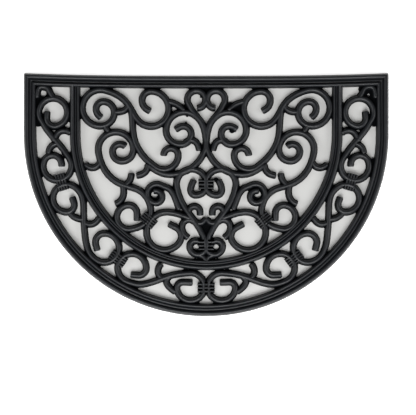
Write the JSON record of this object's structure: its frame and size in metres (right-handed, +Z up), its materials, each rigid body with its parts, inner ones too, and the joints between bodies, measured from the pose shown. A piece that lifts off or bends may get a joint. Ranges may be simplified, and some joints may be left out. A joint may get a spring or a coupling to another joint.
{
  "type": "half moon rug",
  "caption": "Half-round openwork rubber doormat that lies flat, with a reeded frame, a round inner band and scrollwork moulded in one piece.",
  "frame": {"origin": "middle of the bounding box, on the flat underside", "axes": "+X along the straight back edge, +Y from the round edge to the straight edge, +Z up out of the floor"},
  "size_m": [0.6, 0.3999, 0.009],
  "materials": {
    "rubber": "near-black moulded rubber with a soft sheen"
  },
  "bodies": {
    "root": {"half_moon_mat": "rubber"}
  },
  "joints": []
}
